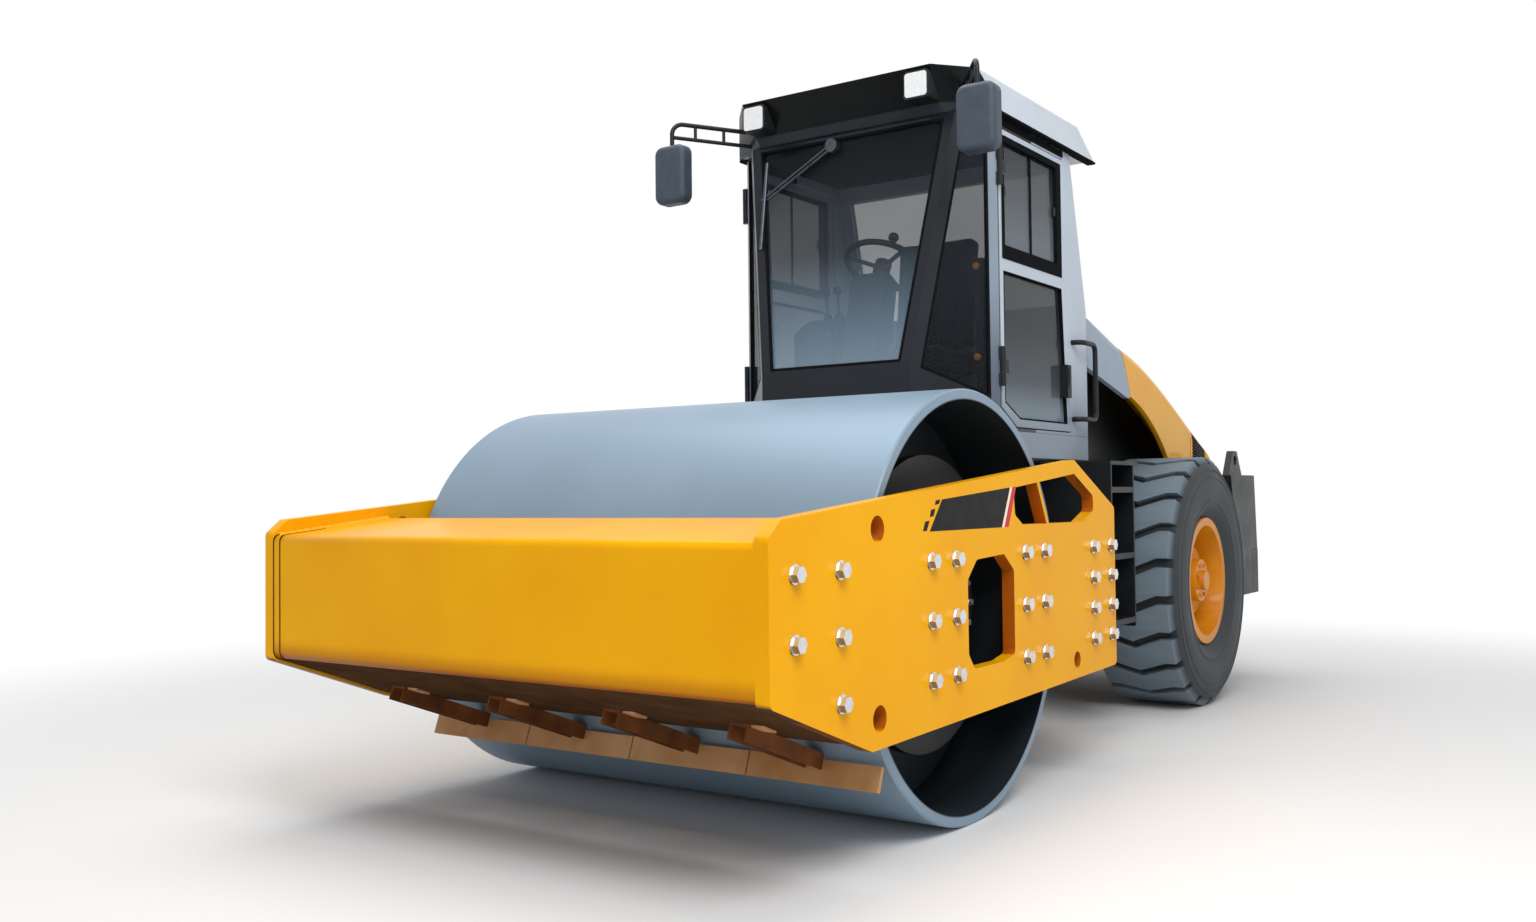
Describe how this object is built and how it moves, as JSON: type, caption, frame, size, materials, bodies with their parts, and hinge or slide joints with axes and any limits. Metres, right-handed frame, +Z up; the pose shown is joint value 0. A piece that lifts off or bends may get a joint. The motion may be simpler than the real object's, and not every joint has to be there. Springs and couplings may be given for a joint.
{
  "type": "single-drum vibratory soil roller",
  "caption": "Articulated single-drum soil roller with a smooth steel drum in a plate frame, a glazed cab, a tilting hood and rubber rear tyres, for compacting earth.",
  "frame": {"origin": "on the ground below the middle of the machine's box", "axes": "+X forward, towards the drum; +Y to the machine's left; +Z up"},
  "size_m": [5.936, 2.3, 3.137],
  "materials": {
    "yellow_paint": "gloss paint",
    "black_paint": "satin paint",
    "rusted_steel": "worn",
    "drum_steel": "rolled",
    "black_casting": "painted casting",
    "chromed_rod": "polished",
    "rim_paint": "gloss paint",
    "tyre_rubber": "matte",
    "red_lens": "clear",
    "grey_shell": "satin paint",
    "yellow_shell": "gloss paint",
    "black_plastic": "moulded",
    "grey_paint": "satin paint",
    "dark_paint": "satin paint",
    "roof_shell": "satin paint",
    "tinted_glass": "tinted",
    "seat_fabric": "woven",
    "clear_lens": "clear",
    "grey_plastic": "moulded"
  },
  "bodies": {
    "rear_body": {"rear_frame": "black_paint", "rear_axle": "black_casting", "engine_block": "black_casting", "counterweight": "black_paint", "tail_tower_left": "black_paint", "tail_tower_right": "black_paint", "tail_lamps": "red_lens", "rear_grille": "black_paint", "inner_walls": "black_paint", "cowl": "grey_shell", "ladder_left": "black_paint", "ladder_right": "black_paint", "cab_floor": "grey_paint", "cab_front_frame": "dark_paint", "cab_rear_frame": "grey_paint", "cab_roof": "roof_shell", "roof_fascia": "dark_paint", "windscreen": "tinted_glass", "corner_glass": "tinted_glass", "rear_window": "tinted_glass", "seat_base": "black_paint", "seat_cushion": "seat_fabric", "seat_back": "seat_fabric", "steering_column": "black_plastic", "console": "black_plastic", "head_lamps": "clear_lens", "mirror_arms": "black_paint", "mirrors": "grey_plastic", "wiper": "black_paint", "grab_handles": "black_paint"},
    "centre_joint": {"centre_joint": "black_casting"},
    "front_frame": {"side_plate_left": "yellow_paint", "side_plate_right": "yellow_paint", "front_beam": "yellow_paint", "rear_crossmember": "yellow_paint", "drum_mount_left": "black_paint", "drum_mount_right": "black_paint", "scraper_brackets": "rusted_steel", "scraper_blade": "rusted_steel"},
    "drum": {"drum": "drum_steel"},
    "wheel_left": {"rim_left": "rim_paint", "tyre_left": "tyre_rubber"},
    "wheel_right": {"rim_right": "rim_paint", "tyre_right": "tyre_rubber"},
    "door_left": {"door_left": "grey_paint", "door_glass_left": "tinted_glass"},
    "door_right": {"door_right": "grey_paint", "door_glass_right": "tinted_glass"},
    "hood": {"hood": "yellow_shell", "hood_vents": "black_plastic"},
    "steering_barrel_left": {"steering_barrel_left": "black_paint"},
    "steering_barrel_right": {"steering_barrel_right": "black_paint"},
    "steering_rod_left": {"steering_rod_left": "chromed_rod"},
    "steering_rod_right": {"steering_rod_right": "chromed_rod"}
  },
  "joints": [
    {"name": "steer", "type": "hinge", "parent": "rear_body", "child": "centre_joint", "pos_m": [-0.068, 0, 0.785], "axis": [0, 0, -1], "range_deg": [-35, 35]},
    {"name": "oscillate", "type": "hinge", "parent": "centre_joint", "child": "front_frame", "pos_m": [-0.068, 0, 0.785], "axis": [1, 0, 0], "range_deg": [-10, 10]},
    {"name": "drum_roll", "type": "hinge", "parent": "front_frame", "child": "drum", "pos_m": [1.532, 0, 0.8], "axis": [0, 1, 0], "continuous": true},
    {"name": "wheel_left_roll", "type": "hinge", "parent": "rear_body", "child": "wheel_left", "pos_m": [-1.668, 0.77, 0.705], "axis": [0, 1, 0], "continuous": true},
    {"name": "wheel_right_roll", "type": "hinge", "parent": "rear_body", "child": "wheel_right", "pos_m": [-1.668, -0.77, 0.705], "axis": [0, 1, 0], "continuous": true},
    {"name": "door_left_open", "type": "hinge", "parent": "rear_body", "child": "door_left", "pos_m": [0.453, 0.714, 2.2], "axis": [0, 0, -1], "range_deg": [0, 90]},
    {"name": "door_right_open", "type": "hinge", "parent": "rear_body", "child": "door_right", "pos_m": [0.453, -0.714, 2.2], "axis": [0, 0, -1], "range_deg": [-90, 0]},
    {"name": "hood_open", "type": "hinge", "parent": "rear_body", "child": "hood", "pos_m": [-1.155, 0, 2.042], "axis": [0, 1, 0], "range_deg": [0, 50]},
    {"name": "steering_swing_left", "type": "hinge", "parent": "rear_body", "child": "steering_barrel_left", "pos_m": [-0.708, 0.29, 0.785], "axis": [0, 0, 1], "range_deg": [-2, 2]},
    {"name": "steering_swing_right", "type": "hinge", "parent": "rear_body", "child": "steering_barrel_right", "pos_m": [-0.708, -0.29, 0.785], "axis": [0, 0, 1], "range_deg": [-2, 2]},
    {"name": "steering_stroke_left", "type": "slide", "parent": "steering_barrel_left", "child": "steering_rod_left", "axis": [0.9957, -0.0925, 0], "range_m": [-0.135, 0.135]},
    {"name": "steering_stroke_right", "type": "slide", "parent": "steering_barrel_right", "child": "steering_rod_right", "axis": [0.9957, 0.0925, 0], "range_m": [-0.135, 0.135]}
  ],
  "couplings": [
    {"joint": "steering_swing_left", "follows": "steer", "ratio": -0.035},
    {"joint": "steering_swing_right", "follows": "steer", "ratio": -0.035},
    {"joint": "steering_stroke_left", "follows": "steer", "m_per_rad": 0.2173},
    {"joint": "steering_stroke_right", "follows": "steer", "m_per_rad": -0.2173}
  ]
}
